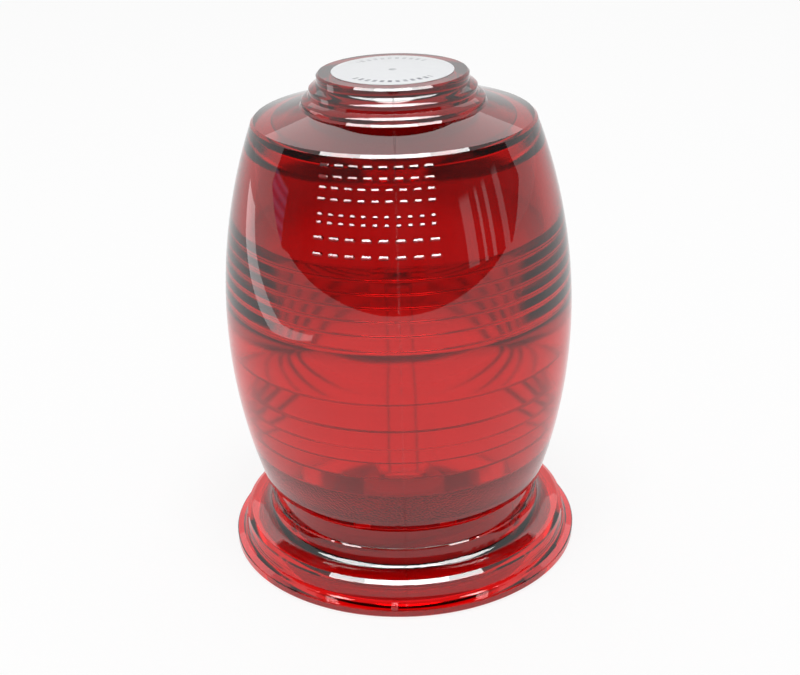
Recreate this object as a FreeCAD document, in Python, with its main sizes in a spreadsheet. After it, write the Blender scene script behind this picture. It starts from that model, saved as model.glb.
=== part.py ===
import FreeCAD, Part
import math
import os
import re
import Sketcher

# All-round navigation light: a red dioptric globe that screws off a round base.
#
# Millimetres, +Z up. The origin is the centre of the mounting face, which lies on the deck.
# Three round lugs inside the globe's neck run in helical grooves of the base collar, so the globe
# rises by globe_lead in each turn. A wedge-base bulb pulls out of the socket under it. Two terminal
# screws clamp the wires, and their threads are plain cylinders with thread_gap around them.

SIZES = {
    # globe, outside
    "rim_r": 38.0, "rim_gap": 0.2, "rim_z": 2.1, "bead_r": 36.4, "bead_z": 2.65,
    "wall_r": 35.8, "wall_z": 2.95, "tread_r": 35.35, "tread_z": 6.8, "tread_in_r": 31.5,
    "tread_rise": 0.55, "cove": 2.2, "collarette_r": 29.45, "collarette_z": 9.75,
    "collarette_high": 1.25, "neck_r": 29.0, "neck_z": 15.4, "barrel_z": 16.9,
    "crown_r": 36.6, "crown_z": 53.0, "barrel_arc": 117.0, "shoulder_z": 95.2, "boss_z": 97.9,
    "boss_r": 18.5, "boss_step": 1.6, "step_wall": 1.5, "step_slope": 0.7, "top_round": 0.4,
    # globe, inside
    "globe_wall": 4.2, "skirt_bore_r": 33.0, "skirt_roof_z": 4.6, "neck_bore_r": 25.6,
    "funnel_z": 17.5, "roof_z": 91.2, "roof_bevel": 3.0, "roof_rise": 2.4, "hollow_r": 12.6,
    "hollow_draft": 0.6, "focus_z": 52.2, "belt_half": 5.6, "belt_bulge": 2.2, "prism_deep": 1.7,
    "prism1": 6.0, "prism2": 4.1, "prism3": 3.2, "prism4": 3.0, "low_prism4": 3.9, "low_prism5": 4.2,
    # screw fastening of the globe
    "globe_lead": 24.0, "lug_r": 1.5, "lug_z": 7.5, "lug_reach": 1.7, "lug_root": 1.0,
    "groove_gap": 0.2, "groove_deep": 2.2,
    # label and seals
    "label_r": 12.3, "label_thick": 0.15, "seal_in_r": 26.5, "seal_out_r": 32.0, "seal_gap": 0.05,
    "gasket_in_r": 27.6, "gasket_out_r": 30.4, "gasket_thick": 1.0, "fit_gap": 0.1,
    # base
    "plate_gap": 0.4, "plate_thick": 3.0, "collar_gap": 0.4, "collar_wall": 4.7, "collar_z": 14.0,
    "bolt_circle_r": 16.0, "bolt_r": 2.2, "bush_wall": 1.0, "bush_z": 4.5, "bolt_boss_wall": 1.2,
    "weep_r": 1.25, "cable_y": 15.0, "cable_r": 2.8, "grommet_wall": 1.2, "grommet_lip": 1.2,
    # lamp post, socket and their screws
    "foot_r": 9.0, "foot_thick": 4.0, "wing_reach": 17.2, "post_r": 7.6,
    "core_wall": 0.4, "window_high": 2.6, "socket_r": 8.4, "socket_high": 8.0, "screw_y": 5.4,
    "screw_r": 1.3, "screw_long": 8.0, "screw_head_r": 2.5, "screw_head": 1.5, "screw_deep": 0.3,
    # contacts and terminals
    "strip_thick": 0.5, "strip_in_x": 0.8, "strip_out_x": 4.6, "strip_gap": 0.05, "strip_short": 1.0,
    "pad_half": 2.6, "pad_over": 3.2, "terminal_x": 13.2, "insert_wall": 0.8, "insert_long": 3.4,
    "terminal_r": 1.4, "thread_gap": 0.05, "terminal_tip": 0.6, "head_r": 2.7, "head_thick": 2.0,
    "slot_half": 0.4, "slot_deep": 1.0, "clamp_half": 3.0, "clamp_thick": 0.8, "clamp_gap": 0.2,
    # bulb
    "wedge_half_x": 4.8, "wedge_half_y": 1.05, "wedge_long": 10.0, "bulb_drop": 42.0, "bulb_r": 6.9,
    "bulb_waist_r": 4.9, "bulb_flare": 4.5, "bulb_top": 8.0, "glass_wall": 0.8, "pinch_over": 0.8,
    "lead_r": 0.2, "lead_x": 2.7, "lead_fold": 6.5, "lead_clear": 0.5,
    "coil_r": 0.5, "coil_wire_r": 0.12, "coil_pitch": 0.45,
}
SIDES = {"left": -1, "right": 1}
LUG_ANGLES = (90, 210, 330)
BOLT_ANGLES = (30, 150, 270)
WEEP_ANGLE = 210

doc = FreeCAD.newDocument("navigation_light")


def make_sheet():
    sheet = doc.addObject("Spreadsheet::Sheet", "Dim")
    for row, (name, value) in enumerate(SIZES.items(), start=1):
        sheet.set(f"A{row}", name)
        sheet.set(f"B{row}", str(value))
        sheet.setAlias(f"B{row}", name)
    doc.recompute()
    return sheet


sheet = make_sheet()


# ---- expressions: plain text in the sheet's names ----

def size(expression):
    """The number that an expression gives now."""
    return float(sheet.evalExpression(expression))


def linked(expression):
    """The same expression as another object has to write it."""
    return re.sub(r"[a-z]\w*", lambda word: f"Dim.{word[0]}" if word[0] in SIZES else word[0], expression)


def bind(thing, **expressions):
    for name, expression in expressions.items():
        thing.setExpression(name.replace("_at_", "."), linked(expression))
    return thing


def place(thing, x="0", y="0", z="0"):
    return bind(thing, Placement_at_Base_at_x=x, Placement_at_Base_at_y=y, Placement_at_Base_at_z=z)


# ---- solids ----

def cylinder(name, radius, height, x="0", y="0", z="0"):
    thing = doc.addObject("Part::Cylinder", name)
    return place(bind(thing, Radius=radius, Height=height), x, y, z)


def block(name, half_x, half_y, height, x="0", y="0", z="0"):
    """A box that is centred on x and y and stands on z."""
    thing = doc.addObject("Part::Box", name)
    bind(thing, Length=f"2 * ({half_x})", Width=f"2 * ({half_y})", Height=height)
    return place(thing, f"({x}) - ({half_x})", f"({y}) - ({half_y})", z)


def fuse(name, *things):
    thing = doc.addObject("Part::MultiFuse", name)
    thing.Shapes = list(things)
    thing.Refine = True
    return thing


def cut(name, base, *tools):
    thing = doc.addObject("Part::Cut", name)
    thing.Base = base
    thing.Tool = tools[0] if len(tools) == 1 else fuse(f"{name}_tools", *tools)
    return thing


def group(name, *things):
    """Separate solids that share one node."""
    thing = doc.addObject("Part::Compound", name)
    thing.Links = list(things)
    return thing


def on_circle(radius, degrees):
    """Expressions for the x and y of a point on a circle about Z."""
    return f"({radius}) * cos({degrees})", f"({radius}) * sin({degrees})"


def coil(name, section, pitch, height, radius):
    """A section swept along a helix that starts in the XZ plane."""
    helix = bind(doc.addObject("Part::Helix", f"{name}_helix"), Pitch=pitch, Height=height, Radius=radius)
    sweep = doc.addObject("Part::Sweep", name)
    sweep.Sections = [section]
    doc.recompute()
    sweep.Spine = (helix, [f"Edge{n + 1}" for n in range(len(helix.Shape.Edges))])
    sweep.Solid = True
    sweep.Frenet = True
    return sweep


# ---- bodies turned about Z ----

def start_of(sketch, edge, where):
    """Which end of an edge lies at a point: an arc may run the other way round."""
    return 1 if sketch.getPoint(edge, 1).distanceToPoint(where) < 1e-6 else 2


def tie(sketch, edge, end, x, z):
    """Holds one end of an edge to two expressions."""
    for kind, axis, expression in (("DistanceX", -2, x), ("DistanceY", -1, z)):
        if expression == "0":
            sketch.addConstraint(Sketcher.Constraint("PointOnObject", edge, end, axis))
            continue
        held = sketch.addConstraint(Sketcher.Constraint(kind, -1, 1, edge, end, size(expression)))
        sketch.setExpression(f"Constraints[{held}]", linked(expression))


def draw_edge(sketch, start, end, arc):
    """A line, or an arc of a given radius that bulges to the left (1) or right (-1) of its way."""
    if not arc:
        return sketch.addGeometry(Part.LineSegment(start, end))
    radius, side = arc
    chord = end - start
    left = FreeCAD.Vector(-chord.y, chord.x, 0).normalize()
    rise = size(radius) - math.sqrt(size(radius) ** 2 - chord.Length ** 2 / 4)
    return sketch.addGeometry(Part.Arc(start, (start + end) / 2 + left * rise * side, end))


def lathe(name, outline):
    """A body turned about Z from points (radius, height), each with the arc that leaves it, if any."""
    body = doc.addObject("PartDesign::Body", name)
    sketch = body.newObject("Sketcher::SketchObject", f"{name}_outline")
    plane = next(item for item in body.Origin.OriginFeatures if item.Role == "XZ_Plane")
    sketch.AttachmentSupport = (plane, [""])
    sketch.MapMode = "FlatFace"
    points = [FreeCAD.Vector(size(point[0]), size(point[1]), 0) for point in outline]
    count = len(points)
    for index, point in enumerate(outline):
        draw_edge(sketch, points[index], points[(index + 1) % count], point[2:])
    for index, point in enumerate(outline):
        before = (index - 1) % count
        end = start_of(sketch, index, points[index])
        end_before = 3 - start_of(sketch, before, points[before])
        sketch.addConstraint(Sketcher.Constraint("Coincident", before, end_before, index, end))
        tie(sketch, index, end, point[0], point[1])
        if len(point) == 4:
            held = sketch.addConstraint(Sketcher.Constraint("Radius", index, size(point[2])))
            sketch.setExpression(f"Constraints[{held}]", linked(point[2]))
    turned = body.newObject("PartDesign::Revolution", f"{name}_turned")
    turned.Profile = sketch
    turned.ReferenceAxis = (sketch, ["V_Axis"])
    turned.Angle = 360
    body.Tip = turned
    return body


def ring(name, inner, outer, low, high):
    """A flat ring between two heights."""
    return lathe(name, [(inner, low), (outer, low), (outer, high), (inner, high)])


# ---- heights and radii that several pieces share ----

PLATE_R = "(skirt_bore_r - plate_gap)"
COLLAR_R = "(neck_bore_r - collar_gap)"
COLLAR_BORE_R = "(neck_bore_r - collar_gap - collar_wall)"
TOP_Z = "(boss_z + 3 * step_wall + 2 * step_slope + top_round)"
BUSH_R = "(bolt_r + bush_wall)"
BOSS_R = "(bolt_r + bush_wall + bolt_boss_wall)"
GROMMET_R = "(cable_r + grommet_wall)"
FOOT_Z = "(plate_thick + foot_thick)"
WEDGE_Z = "(focus_z - bulb_drop)"
WAIST_Z = "(focus_z - bulb_drop + wedge_long)"
SOCKET_TOP_Z = "(focus_z - bulb_drop + wedge_long - pinch_over)"
SOCKET_Z = "(focus_z - bulb_drop + wedge_long - pinch_over - socket_high)"
STRIP_Y = "(wedge_half_y + 2 * lead_r + strip_gap)"
CORE_HALF_X = "(wedge_half_x + core_wall)"
CORE_HALF_Y = "(wedge_half_y + 2 * lead_r + strip_gap + strip_thick + fit_gap)"
CLAMP_Z = "(plate_thick + foot_thick + strip_thick)"
WING_HALF = f"(bolt_circle_r * sin(30) - {BOSS_R} - fit_gap)"


def barrel_r(z):
    """Radius of the globe's barrel, outside."""
    return f"(crown_r - barrel_arc + sqrt(barrel_arc ^ 2 - (({z}) - crown_z) ^ 2))"


def inner_r(z):
    """Radius of the globe's barrel, inside, between the prisms."""
    return f"(crown_r - barrel_arc + sqrt((barrel_arc - globe_wall) ^ 2 - (({z}) - crown_z) ^ 2))"


# ---- globe ----

def prism_heights(sign, pitches):
    """Heights of the prisms' boundaries, from the central belt outwards."""
    height = f"focus_z + {sign} * belt_half"
    heights = [height]
    for pitch in pitches:
        height = f"{height} + {sign} * {pitch}"
        heights.append(height)
    return heights


def globe_outside():
    """The outside, from the rim up to the boss."""
    points = [("skirt_bore_r", "rim_gap"), ("rim_r", "rim_gap"), ("rim_r", "rim_z"), ("bead_r", "bead_z"),
              ("wall_r", "wall_z"), ("tread_r", "tread_z"), ("tread_in_r", "tread_z + tread_rise", "cove", 1),
              ("collarette_r", "collarette_z"), ("collarette_r", "collarette_z + collarette_high"),
              ("neck_r", "collarette_z + collarette_high"), ("neck_r", "neck_z"),
              (barrel_r("barrel_z"), "barrel_z", "barrel_arc", -1), (barrel_r("shoulder_z"), "shoulder_z")]
    radius, height = "boss_r", "boss_z"
    for _ in range(2):
        points.append((radius, height))
        height = f"{height} + step_wall"
        points.append((radius, height))
        radius = f"{radius} - boss_step"
        height = f"{height} + step_slope"
    points.append((radius, height))
    points.append((radius, f"{height} + step_wall"))
    points.append((f"{radius} - top_round", TOP_Z))
    points.append(("0", TOP_Z))
    return points


def globe_inside():
    """The inside, from the roof down through the prisms to the skirt."""
    above = prism_heights("1", ("prism1", "prism2", "prism3", "prism4"))
    below = prism_heights("-1", ("prism1", "prism2", "prism3", "low_prism4", "low_prism5"))
    points = [("0", f"{TOP_Z} - globe_wall"), ("hollow_r", f"{TOP_Z} - globe_wall"),
              ("hollow_r + hollow_draft", "roof_z + roof_rise"),
              (f"{inner_r('roof_z - roof_bevel')} - roof_bevel", "roof_z"),
              (inner_r("roof_z - roof_bevel"), "roof_z - roof_bevel")]
    for high, low in zip(above[:0:-1], above[-2::-1]):
        points.append((inner_r(high), high))
        points.append((f"{inner_r(low)} - prism_deep", low))
    points.append((inner_r(above[0]), above[0], "(belt_half ^ 2 + belt_bulge ^ 2) / (2 * belt_bulge)", -1))
    for high, low in zip(below, below[1:]):
        points.append((inner_r(high), high))
        points.append((f"{inner_r(high)} - prism_deep", high))
    points.append((inner_r(below[-1]), below[-1]))
    points += [("neck_bore_r", "funnel_z"), ("neck_bore_r", "skirt_roof_z"), ("skirt_bore_r", "skirt_roof_z")]
    return points


def make_globe():
    shell = lathe("globe_shell", globe_outside() + globe_inside())
    lugs = []
    for number, angle in enumerate(LUG_ANGLES, start=1):
        x, y = on_circle("neck_bore_r - lug_reach", angle)
        lug = cylinder(f"lug_{number}", "lug_r", "lug_reach + lug_root", x, y, "lug_z")
        about_z = FreeCAD.Rotation(FreeCAD.Vector(0, 0, 1), angle)
        lug.Placement.Rotation = about_z * FreeCAD.Rotation(FreeCAD.Vector(0, 1, 0), 90)
        lugs.append(lug)
    return fuse("globe", shell, *lugs)


def make_label():
    return cylinder("top_label", "label_r", "label_thick", z=TOP_Z)


def make_seal_ring():
    return ring("seal_ring", "seal_in_r", "seal_out_r", "plate_thick + seal_gap", "skirt_roof_z - seal_gap")


# ---- base ----

def make_groove(number, angle):
    """The helical way of one lug, from just before its place at rest up through the collar's top."""
    section = doc.addObject("Part::Plane", f"groove_section_{number}")
    bind(section, Length="2 * groove_deep", Width="2 * (lug_r + groove_gap)")
    section.Placement.Rotation = FreeCAD.Rotation(FreeCAD.Vector(1, 0, 0), 90)
    place(section, f"{COLLAR_R} - groove_deep", z="-lug_r - groove_gap")
    way = coil(f"groove_way_{number}", section, "globe_lead", "collar_z - lug_z + 3 * lug_r", COLLAR_R)
    groove = doc.addObject("Part::Compound", f"groove_{number}")
    groove.Links = [way]
    back = "(lug_r + 2 * groove_gap) / neck_bore_r * 180 / pi"
    bind(groove, Placement_at_Base_at_z=f"lug_z - globe_lead * {back} / 360")
    turn_back = size(back)
    groove.Placement.Rotation = FreeCAD.Rotation(FreeCAD.Vector(0, 0, 1), angle - turn_back)
    return groove


def make_base_plate():
    """Plate, collar and fixing bosses in one moulding."""
    plate = lathe("plate", [("0", "0"), (PLATE_R, "0"), (PLATE_R, "plate_thick"), (COLLAR_R, "plate_thick"),
                            (COLLAR_R, "collar_z"), (COLLAR_BORE_R, "collar_z"),
                            (COLLAR_BORE_R, "plate_thick"), ("0", "plate_thick")])
    raised = [plate]
    taken = [ring("gasket_groove", "gasket_in_r - fit_gap", "gasket_out_r + fit_gap", "0", "gasket_thick")]
    for number, angle in enumerate(BOLT_ANGLES, start=1):
        x, y = on_circle("bolt_circle_r", angle)
        raised.append(cylinder(f"bolt_boss_{number}", BOSS_R, "bush_z", x, y))
        taken.append(cylinder(f"bush_hole_{number}", BUSH_R, "bush_z", x, y))
    for number, angle in enumerate(LUG_ANGLES, start=1):
        taken.append(make_groove(number, angle))
    x, y = on_circle("bolt_circle_r", WEEP_ANGLE)
    taken.append(cylinder("weep_hole", "weep_r", "plate_thick", x, y))
    taken.append(cylinder("cable_hole", GROMMET_R, "plate_thick", y="cable_y"))
    for number, sign in enumerate(("-1", "1"), start=1):
        y = f"{sign} * screw_y"
        taken.append(cylinder(f"plate_screw_hole_{number}", "screw_r + fit_gap", "plate_thick", y=y))
        taken.append(cylinder(f"screw_recess_{number}", "screw_head_r + fit_gap",
                              "screw_deep + screw_head", y=y))
    return cut("base_plate", fuse("base_moulding", *raised), *taken)


def make_deck_gasket():
    return ring("deck_gasket", "gasket_in_r", "gasket_out_r", "0", "gasket_thick")


def make_fixing_bushes():
    """A metal sleeve in each fixing hole takes the bolt's squeeze."""
    bushes = []
    for number, angle in enumerate(BOLT_ANGLES, start=1):
        x, y = on_circle("bolt_circle_r", angle)
        sleeve = cylinder(f"sleeve_{number}", BUSH_R, "bush_z", x, y)
        bushes.append(cut(f"bush_{number}", sleeve, cylinder(f"bolt_way_{number}", "bolt_r", "bush_z", x, y)))
    return group("fixing_bushes", *bushes)


def make_cable_grommet():
    sleeve = cylinder("grommet_sleeve", GROMMET_R, "plate_thick", y="cable_y")
    lip = cylinder("grommet_flange", f"{GROMMET_R} + grommet_wall", "grommet_lip", y="cable_y", z="plate_thick")
    bore = cylinder("grommet_bore", "cable_r", "plate_thick + grommet_lip", y="cable_y")
    return cut("cable_grommet", fuse("grommet_moulding", sleeve, lip), bore)


# ---- lamp post and socket ----

def screw_holes(name):
    """The holes that the post's two screws cut for themselves."""
    long = "screw_deep + screw_head + screw_long"
    return [cylinder(f"{name}_{sign}", "screw_r", long, y=f"{sign} * screw_y") for sign in (-1, 1)]


def make_lamp_post():
    """A hollow pillar whose foot carries the two terminals."""
    foot = cylinder("foot", "foot_r", "foot_thick", z="plate_thick")
    wings = block("wings", "wing_reach", WING_HALF, "foot_thick", z="plate_thick")
    pillar = cylinder("pillar", "post_r", f"{SOCKET_Z} - plate_thick", z="plate_thick")
    core = block("core", CORE_HALF_X, CORE_HALF_Y, f"{SOCKET_Z} - {FOOT_Z}", z=FOOT_Z)
    window = block("window", "foot_r", "pad_half + fit_gap", "window_high", z=FOOT_Z)
    inserts = [cylinder(f"insert_hole_{side}", "terminal_r + thread_gap + insert_wall", "insert_long",
                        x=f"{sign} * terminal_x", z=f"{FOOT_Z} - insert_long") for side, sign in SIDES.items()]
    return cut("lamp_post", fuse("post_moulding", foot, wings, pillar), core, window, *inserts,
               *screw_holes("post_hole"))


def make_post_screws():
    screws = []
    for number, sign in enumerate((-1, 1), start=1):
        y = f"{sign} * screw_y"
        head = cylinder(f"post_screw_head_{number}", "screw_head_r", "screw_head", y=y, z="screw_deep")
        shank = cylinder(f"post_screw_shank_{number}", "screw_r", "screw_long", y=y,
                         z="screw_deep + screw_head")
        slot = block(f"post_screw_slot_{number}", "screw_head_r", "slot_half", "slot_deep", y=y,
                     z="screw_deep")
        screws.append(cut(f"post_screw_{number}", fuse(f"post_screw_blank_{number}", head, shank), slot))
    return group("post_screws", *screws)


def make_lamp_socket():
    holder = cylinder("socket_block", "socket_r", "socket_high", z=SOCKET_Z)
    mouth = block("socket_mouth", CORE_HALF_X, CORE_HALF_Y, "socket_high", z=SOCKET_Z)
    return cut("lamp_socket", holder, mouth)


# ---- contacts and terminals ----

def make_contact_strip(side, sign):
    """A strip that runs from under a terminal screw, up the post, to one face of the bulb's wedge."""
    middle_x = f"{sign} * (strip_in_x + strip_out_x) / 2"
    middle_y = f"{sign} * ({STRIP_Y} + strip_thick / 2)"
    upright = block(f"upright_{side}", "(strip_out_x - strip_in_x) / 2", "strip_thick / 2",
                    f"{SOCKET_TOP_Z} - strip_short - {FOOT_Z}", x=middle_x, y=middle_y, z=FOOT_Z)
    reach = "(terminal_x + pad_over - strip_in_x) / 2"
    pad = block(f"pad_{side}", reach, "pad_half", "strip_thick", x=f"{sign} * (strip_in_x + {reach})", z=FOOT_Z)
    hole = cylinder(f"pad_hole_{side}", "terminal_r + clamp_gap", "strip_thick",
                    x=f"{sign} * terminal_x", z=FOOT_Z)
    return cut(f"contact_strip_{side}", fuse(f"strip_blank_{side}", upright, pad), hole)


def make_terminal_inserts():
    inserts = []
    for side, sign in SIDES.items():
        x, low = f"{sign} * terminal_x", f"{FOOT_Z} - insert_long"
        nut = cylinder(f"insert_blank_{side}", "terminal_r + thread_gap + insert_wall", "insert_long", x=x, z=low)
        bore = cylinder(f"insert_bore_{side}", "terminal_r + thread_gap", "insert_long", x=x, z=low)
        inserts.append(cut(f"insert_{side}", nut, bore))
    return group("terminal_inserts", *inserts)


def make_wire_clamp(side, sign):
    x = f"{sign} * terminal_x"
    washer = block(f"clamp_blank_{side}", "clamp_half", "clamp_half", "clamp_thick", x=x, z=CLAMP_Z)
    hole = cylinder(f"clamp_hole_{side}", "terminal_r + clamp_gap", "clamp_thick", x=x, z=CLAMP_Z)
    return cut(f"wire_clamp_{side}", washer, hole)


def make_terminal_screw(side, sign):
    x, head_z = f"{sign} * terminal_x", f"{CLAMP_Z} + clamp_thick"
    tip_z = f"{FOOT_Z} - insert_long + terminal_tip"
    shank = cylinder(f"shank_{side}", "terminal_r", f"{head_z} - ({tip_z})", x=x, z=tip_z)
    head = cylinder(f"head_{side}", "head_r", "head_thick", x=x, z=head_z)
    slot = block(f"slot_{side}", "head_r", "slot_half", "slot_deep", x=x,
                 z=f"{head_z} + head_thick - slot_deep")
    return cut(f"terminal_screw_{side}", fuse(f"screw_blank_{side}", shank, head), slot)


# ---- bulb ----

def make_bulb_glass():
    """A hollow envelope with a flat wedge pinched at its foot."""
    dome, bore = "bulb_r", "(bulb_r - glass_wall)"
    outside = [("0", WAIST_Z), ("bulb_waist_r", WAIST_Z), ("bulb_r", f"{WAIST_Z} + bulb_flare"),
               ("bulb_r", "focus_z + bulb_top - bulb_r", dome, -1), ("0", "focus_z + bulb_top")]
    inside = [("0", "focus_z + bulb_top - glass_wall", bore, 1), (bore, "focus_z + bulb_top - bulb_r"),
              (bore, f"{WAIST_Z} + bulb_flare"), ("bulb_waist_r - glass_wall", f"{WAIST_Z} + glass_wall"),
              ("0", f"{WAIST_Z} + glass_wall")]
    pinch = block("pinch", "wedge_half_x", "wedge_half_y", "wedge_long", z=WEDGE_Z)
    return fuse("bulb_glass", lathe("envelope", outside + inside), pinch)


def make_lead_wires():
    """On each side, the wire folded up the wedge's face and the post that holds the filament."""
    wires = []
    for side, sign in SIDES.items():
        x = f"{sign} * lead_x"
        wires.append(cylinder(f"folded_wire_{side}", "lead_r", "lead_fold", x=x,
                              y=f"{sign} * (wedge_half_y + lead_r)", z=f"{WEDGE_Z} + lead_clear"))
        floor = f"{WAIST_Z} + glass_wall"
        wires.append(cylinder(f"filament_post_{side}", "lead_r", f"focus_z + coil_r - ({floor})", x=x, z=floor))
    return group("lead_wires", *wires)


def make_filament():
    """A coiled wire that spans the two posts at the globe's focus."""
    section = bind(doc.addObject("Part::Circle", "coil_section"), Radius="coil_wire_r")
    section.Placement.Rotation = FreeCAD.Rotation(FreeCAD.Vector(1, 0, 0), 90)
    place(section, "coil_r")
    long = "2 * (lead_x - lead_r - 2 * coil_wire_r)"
    wire = coil("coil", section, "coil_pitch", long, "coil_r")
    filament = group("filament", wire)
    filament.Placement.Rotation = FreeCAD.Rotation(FreeCAD.Vector(0, 1, 0), 90)
    return place(filament, "-(lead_x - lead_r - 2 * coil_wire_r)", z="focus_z")


def make_parts():
    parts = [make_globe(), make_label(), make_seal_ring(), make_base_plate(), make_deck_gasket(),
             make_fixing_bushes(), make_cable_grommet(), make_lamp_post(), make_post_screws(),
             make_lamp_socket(), make_terminal_inserts(), make_bulb_glass(), make_lead_wires(),
             make_filament()]
    for side, sign in SIDES.items():
        parts.append(make_contact_strip(side, sign))
        parts.append(make_wire_clamp(side, sign))
        parts.append(make_terminal_screw(side, sign))
    return parts


def check(parts):
    for thing in doc.Objects:
        if {"Invalid", "Error"} & set(thing.State):
            raise RuntimeError(f"{thing.Name} failed to build: {thing.State}")
    for part in parts:
        if part.Shape.isNull() or not part.Shape.isValid() or not part.Shape.Solids:
            raise RuntimeError(f"{part.Name} is not a valid solid")


def export(parts):
    os.makedirs("parts", exist_ok=True)
    for part in parts:
        part.Label = part.Name
        part.Shape.exportStep(os.path.join("parts", f"{part.Label}.step"))
        box = part.Shape.BoundBox
        print(f"{part.Label}: {len(part.Shape.Solids)} solids, {part.Shape.Volume:.2f} mm3, "
              f"z {box.ZMin:.2f} to {box.ZMax:.2f}")


parts = make_parts()
doc.recompute()
check(parts)
export(parts)
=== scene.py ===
import math
import bpy
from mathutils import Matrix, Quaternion, Vector


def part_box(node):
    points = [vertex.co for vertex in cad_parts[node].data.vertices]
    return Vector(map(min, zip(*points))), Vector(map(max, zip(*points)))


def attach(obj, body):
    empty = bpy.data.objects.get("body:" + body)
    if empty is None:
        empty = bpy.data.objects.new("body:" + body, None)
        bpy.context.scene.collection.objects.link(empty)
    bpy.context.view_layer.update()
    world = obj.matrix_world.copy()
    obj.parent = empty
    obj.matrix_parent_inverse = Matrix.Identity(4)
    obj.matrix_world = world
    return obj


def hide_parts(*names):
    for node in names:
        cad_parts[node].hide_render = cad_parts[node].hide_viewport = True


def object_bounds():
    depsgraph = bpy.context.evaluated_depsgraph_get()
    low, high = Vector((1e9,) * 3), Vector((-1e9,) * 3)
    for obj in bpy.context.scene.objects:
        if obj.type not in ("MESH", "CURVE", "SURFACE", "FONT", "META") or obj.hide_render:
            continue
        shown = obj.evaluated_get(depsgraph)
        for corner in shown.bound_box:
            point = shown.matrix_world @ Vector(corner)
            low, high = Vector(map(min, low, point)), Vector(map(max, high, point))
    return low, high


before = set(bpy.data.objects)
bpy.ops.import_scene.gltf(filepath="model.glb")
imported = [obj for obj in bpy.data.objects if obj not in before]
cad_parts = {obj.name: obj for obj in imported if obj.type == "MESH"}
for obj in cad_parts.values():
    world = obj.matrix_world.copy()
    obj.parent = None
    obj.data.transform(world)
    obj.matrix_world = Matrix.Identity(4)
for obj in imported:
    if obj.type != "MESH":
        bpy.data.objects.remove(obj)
cad_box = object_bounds()

# ---- Table and studio ----
# The light stands on a white table in a white studio. A strip lamp hangs over it, a panel stands behind
# it, and the dark half of the room, with its windows, shows only in the gloss.
eye = Vector((0.0, -0.27448, 0.16943))
aim = Vector((0.0, 0.0, 0.04593))
roll = -0.0279
field_mm = 36.0
focal_mm = 62.78


def look(where, target):
    return (target - where).to_track_quat("-Z", "Y")


bpy.ops.object.camera_add(location=eye)
camera = bpy.context.object
camera.rotation_mode = "QUATERNION"
camera.rotation_quaternion = look(eye, aim) @ Quaternion((0, 0, 1), roll)
camera.data.sensor_width = field_mm
camera.data.lens = focal_mm
camera.data.clip_start = 0.01
bpy.context.scene.camera = camera
bpy.context.scene.view_settings.view_transform = "Standard"


class Wire:
    """The output of one node, so that shader sums are written as plain arithmetic."""

    def __init__(self, finish, socket):
        self.finish = finish
        self.socket = socket

    def math(self, operation, *values, clamp=False):
        return self.finish.node("ShaderNodeMath", {"operation": operation, "use_clamp": clamp},
                                dict(enumerate(values)))

    def __add__(self, other):
        return self.math("ADD", self, other)

    def __mul__(self, other):
        return self.math("MULTIPLY", self, other)

    def __sub__(self, other):
        return self.math("SUBTRACT", self, other)

    def __rsub__(self, other):
        return self.math("SUBTRACT", other, self)

    __radd__ = __add__
    __rmul__ = __mul__

    def power(self, exponent):
        return self.math("POWER", self, exponent)

    def clipped(self):
        return self.math("ADD", self, 0.0, clamp=True)


class Finish:
    """A material, or the world, whose nodes are added one by one."""

    def __init__(self, name, world=False):
        self.owner = bpy.data.worlds.new(name) if world else bpy.data.materials.new(name)
        self.owner.use_nodes = True
        self.tree = self.owner.node_tree
        self.tree.nodes.clear()

    def node(self, kind, settings=None, inputs=None, out=None):
        made = self.tree.nodes.new(kind)
        for name, value in (settings or {}).items():
            if name == "stops":
                while len(made.color_ramp.elements) < len(value):
                    made.color_ramp.elements.new(0.5)
                for element, (place, colour) in zip(made.color_ramp.elements, value):
                    element.position = place
                    element.color = (*colour, 1.0)
            else:
                setattr(made, name, value)
        for name, value in (inputs or {}).items():
            socket = made.inputs[name]
            if isinstance(value, Wire):
                self.tree.links.new(value.socket, socket)
            elif value is not None:
                socket.default_value = value
        if out:
            return Wire(self, made.outputs[out])
        return Wire(self, next((socket for socket in made.outputs if socket.enabled), None))

    def mix(self, amount, first, second):
        """Two colours mixed by an amount."""
        return self.node("ShaderNodeMix", {"data_type": "RGBA"}, {0: amount, 6: first, 7: second})

    def place(self, scale=(1, 1, 1)):
        """The point on the piece, in metres times the scale."""
        spot = self.node("ShaderNodeTexCoord", out="Object")
        return self.node("ShaderNodeMapping", None, {"Vector": spot, "Scale": scale})

    def coordinates(self, scale=1):
        """How far across, deep and high the point is, in metres times the scale."""
        spot = self.node("ShaderNodeSeparateXYZ", None, {0: self.place((scale, scale, scale))})
        return [Wire(self, spot.socket.node.outputs[axis]) for axis in "XYZ"]

    def noise(self, scale, detail=3.0, spot=None):
        return self.node("ShaderNodeTexNoise", None, {
            "Vector": spot or self.place(), "Scale": scale, "Detail": detail}, out="Fac")

    def ramp(self, amount, *stops):
        """Shades of grey at places along an amount."""
        greys = [(place, (shade, shade, shade)) for place, shade in stops]
        return self.node("ShaderNodeValToRGB", {"stops": greys}, {0: amount})

    def bump(self, height, distance):
        return self.node("ShaderNodeBump", None, {"Height": height, "Strength": 1.0, "Distance": distance})

    def surface(self, **values):
        """Ends the material in one principled shader."""
        inputs = {name.replace("_", " "): value for name, value in values.items()}
        shader = self.node("ShaderNodeBsdfPrincipled", None, inputs)
        self.node("ShaderNodeOutputMaterial", None, {"Surface": shader})
        return self.owner

    def glowing(self, colour, strength):
        """Ends the material in light of its own."""
        shader = self.node("ShaderNodeEmission", None, {"Color": colour, "Strength": strength})
        self.node("ShaderNodeOutputMaterial", None, {"Surface": shader})
        return self.owner


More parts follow.
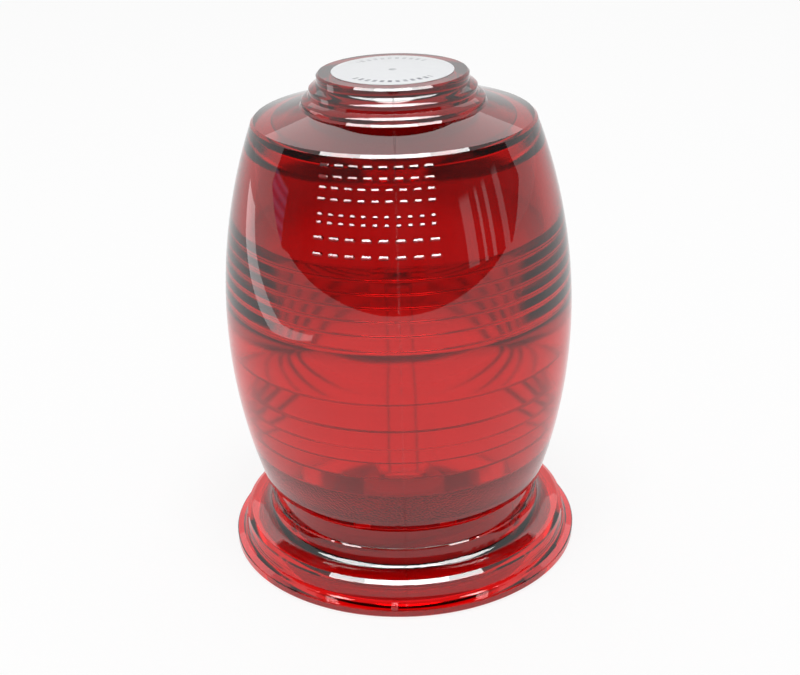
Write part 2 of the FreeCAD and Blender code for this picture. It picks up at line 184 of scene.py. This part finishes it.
def seen_strength(finish, plain, seen):
    """A plain strength for lighting, and another for what the eye, a reflection or glass sees."""
    path = finish.tree.nodes.new("ShaderNodeLightPath")
    watched = sum((Wire(finish, path.outputs[name]) for name in
                   ("Is Camera Ray", "Is Glossy Ray", "Is Transmission Ray")), 0.0).clipped()
    return watched * (seen - plain) + plain


white = (1, 1, 1, 1)
sky = Finish("studio_air", world=True)
air = sky.node("ShaderNodeBackground", None, {"Color": white, "Strength": seen_strength(sky, 0.52, 1.0)})
sky.node("ShaderNodeOutputWorld", None, {"Surface": air})
bpy.context.scene.world = sky.owner

table_half = 3.0
bpy.ops.mesh.primitive_plane_add(size=2 * table_half, location=(0, 0, cad_box[0][2]))
table = bpy.context.object
table.name = "table"
paper = Finish("white_table")
grain = paper.noise(900.0)
matt = paper.node("ShaderNodeBsdfDiffuse", None, {
    "Color": paper.mix(grain, (0.92, 0.92, 0.92, 1), (0.95, 0.95, 0.95, 1))})
glow = paper.node("ShaderNodeEmission", None, {"Color": white, "Strength": 1.0})
paper.node("ShaderNodeOutputMaterial", None, {"Surface": paper.node("ShaderNodeMixShader", None, {
    0: seen_strength(paper, 0.0, 0.82), 1: matt, 2: glow})})
table.data.materials.append(paper.owner)


lamp_target = Vector((0, 0, 0.05))


def lamp(name, where, width, height, watts):
    """A rectangular lamp that faces the middle of the light."""
    bpy.ops.object.light_add(type="AREA", location=where)
    made = bpy.context.object
    made.name = name
    made.rotation_mode = "QUATERNION"
    made.rotation_quaternion = look(where, lamp_target)
    made.data.shape = "RECTANGLE"
    made.data.size = width
    made.data.size_y = height
    made.data.energy = watts


def toward(azimuth, elevation, distance):
    """A place seen from the light, with azimuth 0 towards the eye and 90 to the right."""
    side, rise = math.radians(azimuth), math.radians(elevation)
    return Vector((math.sin(side) * math.cos(rise), -math.cos(side) * math.cos(rise), math.sin(rise))) * distance


lamp("back_panel", toward(180, 42, 1.2), 1.5, 0.5, 1.8)
lamp("ceiling_lamp", toward(0, 78, 1.1), 0.6, 0.35, 5.6)


def only_in_gloss(thing):
    """The thing shows in reflections and lights nothing."""
    for flag in ("visible_camera", "visible_diffuse", "visible_transmission", "visible_volume_scatter",
                 "visible_shadow"):
        setattr(thing, flag, False)


softbox_high, softbox_front, softbox_back, softbox_side = 1.2, -0.60, 0.04, 1.15
bpy.ops.mesh.primitive_plane_add(size=1.0, location=(0, (softbox_front + softbox_back) / 2, softbox_high))
softbox = bpy.context.object
softbox.name = "softbox"
softbox.scale = (2 * softbox_side, softbox_back - softbox_front, 1)
bright = Finish("softbox_cloth")
softbox.data.materials.append(bright.glowing(white, 14.0))
only_in_gloss(softbox)

# A long white board lies on the table at the left, and shows as a pale curved streak down the barrel.
board_line = ((-0.176, -0.135, 0.010), (-0.208, -0.041, 0.021), (-0.45, 0.16, 0.060), (-1.2, 0.66, 0.17))
bpy.ops.mesh.primitive_grid_add(x_subdivisions=1, y_subdivisions=len(board_line) - 1, size=1.0)
board = bpy.context.object
board.name = "white_board"
for corner in board.data.vertices:
    x, y, half = board_line[round((corner.co.y + 0.5) * (len(board_line) - 1))]
    side = 1 if corner.co.x > 0 else -1
    corner.co = (x + side * half * 0.6, y + side * half * 0.8, 0.002)
lit_board = Finish("lit_board")
board.data.materials.append(lit_board.glowing(white, 2.8))
only_in_gloss(board)

# The dark room: a dome in front of the table's sheet, with windows as pale upright stripes at its right
# and a barred window at its left.
room_r = 1.6
bpy.ops.mesh.primitive_uv_sphere_add(segments=64, ring_count=48, radius=room_r, location=(0, 0, 0))
room = bpy.context.object
room.name = "dark_room"
bpy.ops.object.mode_set(mode="EDIT")
bpy.ops.mesh.select_all(action="SELECT")
bpy.ops.mesh.bisect(plane_co=(0, -0.26, 0), plane_no=(0, -0.42, 1), clear_inner=True)
bpy.ops.mesh.select_all(action="SELECT")
bpy.ops.mesh.bisect(plane_co=(0, 0.35, 0), plane_no=(0, 1, 0.6), clear_outer=True)
bpy.ops.object.mode_set(mode="OBJECT")
dim = Finish("dark_wall")
shade = dim.noise(2.0)
across, depth, height = dim.coordinates()


def past(value, low, soft):
    """0 below a limit, rising to 1 over a soft step."""
    return ((value - low) * (1 / soft)).clipped()


def short_of(value, high, soft):
    """0 above a limit, rising to 1 over a soft step below it."""
    return ((high - value) * (1 / soft)).clipped()


def between(value, low, high, soft=0.02):
    """1 between two limits, 0 outside them."""
    return past(value, low, soft) * short_of(value, high, soft)


right_side = between(across, 0.2, 2.0)
stripes = sum((between(depth, low, high, 0.01) * glare for low, high, glare in (
    (-1.12, -0.95, 0.8), (-0.86, -0.80, 1.0), (-0.70, -0.62, 0.9), (-0.44, -0.30, 0.7))), 0.0)
window_right = right_side * stripes * between(height, -0.35, 0.42, 0.05)
bars = dim.node("ShaderNodeTexWave", {"wave_type": "BANDS", "bands_direction": "Z"}, {
    "Vector": dim.place(), "Scale": 5.0}, out="Fac")
window_left = between(across, -2.0, -0.2) * between(depth, -0.25, 0.22) * between(height, -0.42, 0.30)
room.data.materials.append(dim.glowing(
    dim.mix(window_left, (1, 0.88, 0.88, 1), (0.75, 0.6, 1.0, 1)),
    shade * 0.22 + window_right * 1.2 + window_left * (bars * 0.5 + 0.25) + 0.03))
only_in_gloss(room)

# The table's white sheet ends in front of the light, and the floor beyond it is dark.
sheet_edge, dark_far, dark_side = -0.42, -1.75, 1.75
bpy.ops.mesh.primitive_plane_add(size=1.0, location=(0, (sheet_edge + dark_far) / 2, 0.001))
dark_floor = bpy.context.object
dark_floor.name = "dark_floor"
dark_floor.scale = (2 * dark_side, sheet_edge - dark_far, 1)
murk = Finish("dark_carpet")
pile = murk.noise(3.0)
dark_floor.data.materials.append(murk.glowing((1, 0.85, 0.85, 1), pile * 0.22 + 0.04))
only_in_gloss(dark_floor)

# ---- Base plate, deck gasket, bushes and grommet ----
# The base is one moulding of grey glass-filled nylon: a round plate, and a collar with three helical
# grooves for the globe's lugs. Brass bushes line its bolt holes, and rubber seals it to the deck.
mm = 0.001


def clear_selection():
    if bpy.context.object and bpy.context.object.mode == "EDIT":
        bpy.ops.object.mode_set(mode="OBJECT")
    bpy.ops.object.select_all(action="DESELECT")


def moulded(name, dark, light, roughness, grain_scale=900.0, grain_deep=0.03 * mm, specks=0.0):
    """Moulded nylon, phenolic or rubber: a cloudy colour with a fine spark-eroded grain."""
    finish = Finish(name)
    cloud = finish.noise(120.0, 4.0)
    grain = finish.noise(grain_scale, 2.0)
    colour = finish.mix(cloud, (*dark, 1), (*light, 1))
    if specks:
        colour = finish.mix(finish.ramp(finish.noise(2600.0, 1.0), (0.66, 0.0), (0.74, specks)), colour,
                            (0.08, 0.08, 0.08, 1))
    return finish.surface(Base_Color=colour, Roughness=cloud * 0.12 + grain * 0.06 + roughness,
                          Normal=finish.bump(grain, grain_deep))


def metal(name, dark, light, roughness, stretch_to):
    """Metal with tool marks drawn out along one way, and duller patches."""
    finish = Finish(name)
    marks = finish.noise(1500.0, spot=finish.place(stretch_to))
    patch = finish.noise(300.0, 4.0)
    return finish.surface(Base_Color=finish.mix(patch, (*dark, 1), (*light, 1)), Metallic=1.0,
                          Roughness=patch * 0.15 + marks * 0.15 + roughness,
                          Normal=finish.bump(marks, 0.02 * mm))


def dress(node, material):
    """A CAD node keeps its shape and gets a better finish."""
    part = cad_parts[node]
    part.data.materials.clear()
    part.data.materials.append(material)


def eased_copy(node, name, body, material, round_off=0.2 * mm):
    """A copy of a CAD node with its edges rounded, as a mould or a tool leaves them."""
    clear_selection()
    piece = bpy.data.objects.new(name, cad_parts[node].data.copy())
    bpy.context.scene.collection.objects.link(piece)
    piece.select_set(True)
    bpy.context.view_layer.objects.active = piece
    bpy.ops.object.mode_set(mode="EDIT")
    bpy.ops.mesh.select_all(action="SELECT")
    bpy.ops.mesh.remove_doubles(threshold=2e-6)
    bpy.ops.mesh.dissolve_limited(angle_limit=math.radians(1.0))
    bpy.ops.object.mode_set(mode="OBJECT")
    if piece.data.has_custom_normals:
        bpy.ops.mesh.customdata_custom_splitnormals_clear()
    bevel = piece.modifiers.new("edges", "BEVEL")
    bevel.width = round_off
    bevel.segments = 3
    bevel.limit_method = "ANGLE"
    bevel.angle_limit = math.radians(40)
    bpy.ops.object.modifier_apply(modifier=bevel.name)
    bpy.ops.object.shade_smooth_by_angle(angle=math.radians(35))
    piece.data.materials.clear()
    piece.data.materials.append(material)
    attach(piece, body)
    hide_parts(node)


grey_nylon = moulded("grey_nylon", (0.56, 0.56, 0.565), (0.64, 0.64, 0.645), 0.42, specks=0.15)
grey_rubber = moulded("grey_rubber", (0.50, 0.50, 0.505), (0.58, 0.58, 0.585), 0.55, 1400.0, 0.04 * mm)
turned_brass = metal("turned_brass", (0.62, 0.42, 0.15), (0.80, 0.58, 0.25), 0.16, stretch_to=(1, 1, 12))
dress("base_plate", grey_nylon)
eased_copy("deck_gasket", "gasket_ring", "base", grey_rubber, 0.3 * mm)
eased_copy("fixing_bushes", "bolt_bushes", "base", turned_brass)
eased_copy("cable_grommet", "rubber_grommet", "base", grey_rubber, 0.35 * mm)

# ---- Lamp post, its screws and the socket ----
# A hollow nylon pillar with a wing on each side for a terminal, held from below by two stainless
# screws. The socket is a cream phenolic block with a slot for the bulb's wedge.
stainless = metal("turned_stainless", (0.50, 0.50, 0.51), (0.66, 0.66, 0.68), 0.18, stretch_to=(1, 1, 12))
cream_phenolic = moulded("cream_phenolic", (0.56, 0.47, 0.33), (0.68, 0.58, 0.42), 0.30, 700.0, 0.02 * mm)
eased_copy("lamp_post", "lamp_pillar", "base", grey_nylon, 0.3 * mm)
eased_copy("post_screws", "pillar_screws", "base", stainless, 0.15 * mm)
eased_copy("lamp_socket", "bulb_socket", "base", cream_phenolic, 0.35 * mm)

# ---- Contacts and terminals ----
# Each contact is a strip of spring brass, stamped and bent, under a square brass washer and a slotted
# stainless screw in a brass insert.
strip_brass = metal("rolled_brass", (0.66, 0.47, 0.20), (0.82, 0.63, 0.31), 0.20, stretch_to=(12, 1, 1))
eased_copy("terminal_inserts", "screw_inserts", "base", turned_brass, 0.15 * mm)
for side in ("left", "right"):
    eased_copy(f"contact_strip_{side}", f"{side}_strip", "base", strip_brass, 0.1 * mm)
    eased_copy(f"wire_clamp_{side}", f"{side}_washer", f"clamp_{side}", turned_brass, 0.15 * mm)
    eased_copy(f"terminal_screw_{side}", f"{side}_screw", f"screw_{side}", stainless, 0.25 * mm)

# ---- Bulb ----
# A blown glass envelope pinched flat at the foot, where two nickel wires are folded up its faces. A
# coiled tungsten filament spans the two posts inside it.


def turned(name, points, steps, closed=True):
    """An outline in the XZ plane, drawn point by point and spun about Z."""
    clear_selection()
    bpy.ops.mesh.primitive_plane_add(size=mm)
    piece = bpy.context.object
    piece.name = name
    bpy.ops.object.mode_set(mode="EDIT")
    bpy.ops.mesh.merge(type="CENTER")
    start = Vector((points[0][0], 0, points[0][1]))
    bpy.ops.transform.translate(value=start)
    loop = points + points[:1] if closed else points
    for (r0, z0), (r1, z1) in zip(loop, loop[1:]):
        bpy.ops.mesh.extrude_vertices_move(TRANSFORM_OT_translate={"value": (r1 - r0, 0, z1 - z0)})
    bpy.ops.mesh.select_all(action="SELECT")
    bpy.ops.mesh.spin(steps=steps, angle=2 * math.pi, center=(0, 0, 0), axis=(0, 0, 1))
    bpy.ops.mesh.select_all(action="SELECT")
    bpy.ops.mesh.remove_doubles(threshold=1e-6)
    bpy.ops.mesh.delete_loose(use_verts=True, use_edges=True, use_faces=False)
    bpy.ops.mesh.select_all(action="SELECT")
    bpy.ops.mesh.normals_make_consistent(inside=False)
    bpy.ops.object.mode_set(mode="OBJECT")
    return piece


def joined(piece, tools):
    """The tools become one solid with the piece."""
    clear_selection()
    for tool in tools:
        tool.select_set(True)
    bpy.context.view_layer.objects.active = tools[0]
    if len(tools) > 1:
        bpy.ops.object.join()
    tool = bpy.context.object
    clear_selection()
    piece.select_set(True)
    bpy.context.view_layer.objects.active = piece
    union = piece.modifiers.new("union", "BOOLEAN")
    union.operation = "UNION"
    union.solver = "EXACT"
    union.object = tool
    bpy.ops.object.modifier_apply(modifier=union.name)
    bpy.data.objects.remove(tool)


def rounded_block(size, where, turn, round_off, segments=2):
    """A block with rounded edges, its place kept in its mesh."""
    clear_selection()
    bpy.ops.mesh.primitive_cube_add(size=1.0, location=where, rotation=turn, scale=size)
    bpy.ops.object.transform_apply()
    bpy.ops.object.mode_set(mode="EDIT")
    bpy.ops.mesh.bevel(offset=round_off, segments=segments)
    bpy.ops.object.mode_set(mode="OBJECT")
    return bpy.context.object


glass_low, glass_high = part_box("bulb_glass")
bulb_r, bulb_wall = glass_high[0], 0.8 * mm
wedge_half_x, wedge_half_y, wedge_long = 4.8 * mm, 1.05 * mm, 10.0 * mm
waist_r, waist_z, flare = 4.9 * mm, glass_low[2] + wedge_long, 4.5 * mm


def envelope(radius, foot_r, foot_z, top_z):
    """Points up one face of the envelope, from the middle of its foot to the middle of its dome."""
    points = [(0.0, foot_z), (foot_r - 0.8 * mm, foot_z), (foot_r, foot_z + 0.5 * mm),
              (radius - 0.5 * mm, waist_z + flare - 1.2 * mm), (radius, waist_z + flare + 0.6 * mm)]
    spring_z = top_z - radius
    points += [(radius * math.cos(turn), spring_z + radius * math.sin(turn))
               for turn in (math.radians(degrees) for degrees in range(0, 90, 9))]
    return points + [(0.0, top_z)]


bulb_inside = envelope(bulb_r - bulb_wall, waist_r - bulb_wall, waist_z + bulb_wall, glass_high[2] - bulb_wall)
bulb = turned("clear_bulb", envelope(bulb_r, waist_r, waist_z, glass_high[2]) + bulb_inside[::-1], 64)
pinch = rounded_block((2 * wedge_half_x, 2 * wedge_half_y, wedge_long + 0.3 * mm),
                      (0, 0, glass_low[2] + (wedge_long + 0.3 * mm) / 2), (0, 0, 0), 0.45 * mm, 3)
joined(bulb, [pinch])
bpy.ops.object.shade_smooth_by_angle(angle=math.radians(35))
clear = Finish("clear_glass")
seed = clear.noise(160.0, 2.0)
bulb.data.materials.clear()
bulb.data.materials.append(clear.surface(
    Base_Color=clear.mix(seed, (0.97, 0.98, 0.98, 1), (1, 1, 1, 1)), Roughness=seed * 0.02,
    IOR=1.06, Transmission_Weight=1.0, Normal=clear.bump(seed, 0.03 * mm)))
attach(bulb, "bulb")
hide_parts("bulb_glass")
dress("lead_wires", metal("nickel_wire", (0.50, 0.48, 0.44), (0.62, 0.60, 0.56), 0.22, stretch_to=(12, 12, 1)))
dress("filament", metal("tungsten_wire", (0.10, 0.10, 0.11), (0.20, 0.20, 0.22), 0.35, stretch_to=(1, 12, 12)))

# ---- Seal ring ----
# A flat ring of grey rubber, cut from sheet. It lies loose on the base plate round the collar, and the
# globe's skirt presses it flat as the globe is screwed home.
eased_copy("seal_ring", "globe_seal", "seal", grey_rubber, 0.3 * mm)

# ---- Globe ----
# One moulding of clear red polycarbonate: a barrel with prism rings inside, a stepped boss on top, and
# a neck and a moulded flange at the foot. Three lugs inside the neck hold it to the base collar.
spin_steps = 240
globe_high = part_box("globe")[1]
rim_r, top_z = globe_high[0] / mm, globe_high[2] / mm
crown_r, crown_z, barrel_arc, globe_wall = rim_r - 1.4, 53.0, 117.0, 4.2
barrel_low, shoulder_z, boss_z, boss_r, boss_step, step_high = 16.9, 95.2, 97.9, 18.5, 1.6, 2.2
focus_z, belt_half, belt_bulge = 52.2, 5.6, 1.1
prisms_above, deep_above = (3.1, 2.8, 2.7, 2.6, 2.6, 2.5), 1.1
prisms_below, deep_below = (6.0, 4.1, 3.2, 3.9, 4.2), 1.7
neck_bore_r, skirt_bore_r, hollow_r, roof_z, roof_round = 25.6, 33.0, 12.6, 91.2, 3
skirt_z, ledge_z, funnel_z = 0.2, 4.6, 17.5


def barrel_r(z, wall=0.0):
    """Radius of the barrel's outside, or of its inside for a wall, in millimetres."""
    return crown_r - barrel_arc + math.sqrt((barrel_arc - wall) ** 2 - (z - crown_z) ** 2)


def stretch(start, end, step):
    """Evenly spaced heights from start to end, both of them included."""
    count = max(1, round(abs(end - start) / step))
    return [start + (end - start) * index / count for index in range(count + 1)]


def eased(points):
    """The same line with each corner turned into a short curve."""
    most, plain_turn = 0.35, math.radians(20)
    smooth = points[:1]
    for before, here, after in zip(points, points[1:], points[2:]):
        before, here, after = Vector(before), Vector(here), Vector(after)
        back, on = before - here, after - here
        if (-back).angle(on) < plain_turn:
            smooth.append(tuple(here))
            continue
        short = min(most, back.length / 3, on.length / 3)
        first, last = here + back.normalized() * short, here + on.normalized() * short
        smooth += [tuple(first), tuple(first * 0.25 + here * 0.5 + last * 0.25), tuple(last)]
    return smooth + points[-1:]


# The outside, from the foot up: rim, bead and wall of the flange, its cove, and the band of the neck.
rim = [(skirt_bore_r, skirt_z), (37.7, skirt_z), (rim_r, 0.5), (rim_r, 1.8), (37.82, 2.0)]
bead = [(36.6, 2.42), (36.38, 2.64), (36.0, 2.95), (35.8, 3.3)]
flange_wall = [(35.4, 6.35), (34.45, 6.92), (33.9, 6.98)]
cove = [(31.9, 7.08), (31.1, 7.32), (30.2, 7.97), (29.85, 8.5), (29.6, 9.2), (29.48, 9.8)]
neck_band = [(29.48, 10.8), (29.25, 11.02), (29.0, 11.1), (29.0, 15.1), (29.35, 15.65)]
chamfer, boss_steps = 0.42, 2
outline = rim + bead + flange_wall + cove + neck_band
outline += [(barrel_r(z), z) for z in stretch(barrel_low, shoulder_z - 0.45, 1.5)]
outline += [(barrel_r(shoulder_z) - chamfer, shoulder_z + 0.1), (boss_r + chamfer, boss_z - 0.12)]
for step in range(boss_steps):
    radius, height = boss_r - step * boss_step, boss_z + step * step_high
    outline += [(radius, height + 0.28), (radius, height + 1.1), (radius - 0.45, height + 1.55),
                (radius - boss_step + 0.35, height + step_high - 0.25)]
radius = boss_r - boss_steps * boss_step
outline += [(radius, boss_z + boss_steps * step_high + 0.15), (radius, top_z - chamfer), (radius - chamfer, top_z),
            (0.0, top_z)]

# The inside, from the roof down: prisms, the bulging belt at the bulb's height, prisms, neck and skirt.
above = [focus_z + belt_half + sum(prisms_above[:n]) for n in range(len(prisms_above) + 1)]
below = [focus_z - belt_half - sum(prisms_below[:n]) for n in range(len(prisms_below) + 1)]
vault = [(0.0, top_z - globe_wall), (hollow_r, top_z - globe_wall), (hollow_r + 0.6, roof_z + 2.4),
         (barrel_r(roof_z - roof_round, globe_wall) - roof_round, roof_z)]
vault += [(barrel_r(z, globe_wall), z) for z in stretch(roof_z - roof_round, above[-1], 1.5)]
for high, low in zip(above[:0:-1], above[-2::-1]):
    if high != above[-1]:
        vault.append((barrel_r(high, globe_wall), high))
    vault.append((barrel_r(low, globe_wall) - deep_above, low))
belt_arc = (belt_half ** 2 + belt_bulge ** 2) / (2 * belt_bulge)
for z in stretch(focus_z + belt_half, focus_z - belt_half, 0.8):
    sag = belt_arc - math.sqrt(belt_arc ** 2 - (z - focus_z) ** 2)
    vault.append((barrel_r(z, globe_wall) - belt_bulge + sag, z))
for high, low in zip(below, below[1:]):
    if high != below[0]:
        vault.append((barrel_r(high, globe_wall), high))
    vault.append((barrel_r(high, globe_wall) - deep_below, high))
vault += [(barrel_r(below[-1], globe_wall), below[-1]), (neck_bore_r, funnel_z), (neck_bore_r, ledge_z),
          (skirt_bore_r, ledge_z)]
globe = turned("red_globe", [(r * mm, z * mm) for r, z in outline + eased(vault)], spin_steps)

# Rows of short raised dashes stand on the front of the barrel, and a small rib on the rim marks the
# place where the globe is fully home. Three round lugs stand inside the neck.
dash_rows = ((93.2, 8, 2.0, 0.8), (91.2, 8, 2.0, 0.8), (89.3, 9, 1.7, 0.7), (87.3, 9, 1.7, 0.7),
             (84.6, 11, 1.2, 0.65), (83.1, 11, 1.2, 0.65), (80.3, 8, 2.1, 0.8), (77.3, 8, 2.1, 0.8))
dash_proud, dash_rooted, dash_round, dash_middle, dash_spread = 0.55, 0.5, 0.26, -7.0, 19.0
raised = []
for z, count, wide, tall in dash_rows:
    lean = math.asin((z - crown_z) / barrel_arc)
    reach = barrel_r(z) + (dash_proud - dash_rooted) / 2
    for degrees in stretch(dash_middle - dash_spread, dash_middle + dash_spread, 2 * dash_spread / (count - 1)):
        side = math.radians(degrees)
        raised.append(rounded_block(
            (wide * mm, (dash_proud + dash_rooted) * mm, tall * mm),
            (reach * math.sin(side) * mm, -reach * math.cos(side) * mm, z * mm),
            (-lean / 4, 0, side), dash_round * mm, 1))
rib_turn, rib_reach, rib_z = math.radians(-4.0), 37.05, 1.9
raised.append(rounded_block(
    (1.5 * mm, 1.7 * mm, 1.9 * mm),
    (rib_reach * math.sin(rib_turn) * mm, -rib_reach * math.cos(rib_turn) * mm, rib_z * mm),
    (0, 0, rib_turn), 0.25 * mm))
lug_r, lug_long, lug_z, lug_proud = 1.5, 2.7, 7.5, 1.7
for degrees in (90, 210, 330):
    side = math.radians(degrees)
    middle = (neck_bore_r - lug_proud + lug_long / 2) * mm
    clear_selection()
    bpy.ops.mesh.primitive_cylinder_add(vertices=32, radius=lug_r * mm, depth=lug_long * mm, location=(
        middle * math.cos(side), middle * math.sin(side), lug_z * mm), rotation=(0, math.pi / 2, side))
    bpy.ops.object.transform_apply()
    lug = bpy.context.object
    end_round = lug.modifiers.new("end_round", "BEVEL")
    end_round.width = 0.2 * mm
    end_round.segments = 2
    end_round.angle_limit = math.radians(60)
    bpy.ops.object.modifier_apply(modifier=end_round.name)
    raised.append(lug)
joined(globe, raised)
bpy.ops.object.shade_smooth_by_angle(angle=math.radians(24))

# Clear on the outside and a little dull on the moulded inside; frosted where the barrel meets the neck. Its colour
# is painted darker toward the top as shade, and painted near black inside the roof under the shoulder as shade.
# Sizes are in millimetres.
red = Finish("red_polycarbonate")
across, depth, height = red.coordinates(1000)
reach = (across * across + depth * depth).power(0.5)
haze = red.noise(60.0, 4.0)
ripple = red.noise(35.0, 1.0)
rise = height - crown_z
wall_depth = crown_r - rise * rise * (1 / (2 * barrel_arc)) - reach
skin, barrel_top, top_shade_from, top_shade_over = 1.6, 94.0, 61.0, 7.14
roof_reach, roof_low, roof_high = 27.0, 88.5, 93.8
barrel_part = past(wall_depth, skin, 0.25) * between(height, barrel_low, barrel_top, 0.25)
frosted = barrel_part * short_of(height, below[-1] + 0.2, 0.25)
# Painted shade: inside the roof, under the shoulder, the red is coloured near black.
roof = short_of(reach, roof_reach, 0.5) * past(height, roof_low, 0.5) * short_of(height, roof_high, 0.25)
# Painted shade: the red is coloured darker toward the top of the barrel.
painted_top_shade = past(height, top_shade_from, top_shade_over)
knurl = red.node("ShaderNodeTexVoronoi", None, {"Vector": red.place(), "Scale": 2400.0}, out="Distance")
flash_line = short_of(across.math("ABSOLUTE", across), 0.14, 0.05) * short_of(depth, -10.0, 1.0)
plain_red = red.mix(haze, (0.93, 0.10, 0.13, 1), (0.90, 0.08, 0.11, 1))
shaded_top_red = red.mix(painted_top_shade, plain_red, (0.56, 0.08, 0.11, 1))
globe.data.materials.clear()
globe.data.materials.append(red.surface(
    Base_Color=red.mix(roof, shaded_top_red, (0.10, 0.012, 0.02, 1)),
    Roughness=haze * 0.02 + barrel_part * 0.10 + frosted * 0.30 + 0.008, IOR=1.58, Transmission_Weight=1.0,
    Normal=red.bump(ripple * 0.16 + knurl * frosted * 0.08 + flash_line * 0.05, mm)))
depth_of_red = red.node("ShaderNodeVolumeAbsorption", None, {"Color": (0.950, 0.0, 0.06, 1), "Density": 600.0})
ending = next(node for node in red.tree.nodes if node.type == "OUTPUT_MATERIAL")
red.tree.links.new(depth_of_red.socket, ending.inputs["Volume"])
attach(globe, "globe")
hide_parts("globe")

# ---- Label ----
# A round label of white vinyl, die cut and stuck on top of the boss. It is printed with two arcs of
# dashes and a dot between them, and the print is a little worn.
label_low, label_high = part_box("top_label")
label_r, label_z, label_top = label_high[0], label_low[2], label_high[2]
label = turned("round_label", [(0.0, label_z), (label_r - 0.05 * mm, label_z), (label_r, label_z + 0.05 * mm),
                               (label_r - 0.04 * mm, label_top - 0.03 * mm), (label_r - 0.15 * mm, label_top),
                               (0.0, label_top)], 128, closed=False)
bpy.ops.object.shade_smooth_by_angle(angle=math.radians(40))
vinyl = Finish("label_white")
across, depth = vinyl.coordinates(1000)[:2]
reach = (across * across + depth * depth).power(0.5)
turn = depth.math("ARCTAN2", depth, across)
dash_pitch = 0.155
beat = turn.math("FRACT", turn * (1 / dash_pitch))
print_rows = ((-2.45, -0.69, 1.0), (0.75, 2.39, 0.45))
arcs = sum((between(turn, low, high) * shade for low, high, shade in print_rows), 0.0)
dashes = arcs * between(reach, 8.9, 10.5, 0.2) * between(beat, 0.18, 0.78, 0.08)
dot = between(reach, -1.0, 0.9, 0.2) * 0.6
worn = vinyl.ramp(vinyl.noise(700.0, 3.0), (0.35, 0.55), (0.55, 1.0))
ink = (dashes + dot).clipped() * worn
dust = vinyl.noise(500.0, 5.0)
blank = vinyl.mix(dust, (0.62, 0.63, 0.65, 1), (0.70, 0.71, 0.72, 1))
label.data.materials.append(vinyl.surface(
    Base_Color=vinyl.mix(ink, blank, (0.13, 0.14, 0.17, 1)), Roughness=dust * 0.15 + 0.3,
    Normal=vinyl.bump(dust, 0.03 * mm)))
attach(label, "globe")
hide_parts("top_label")
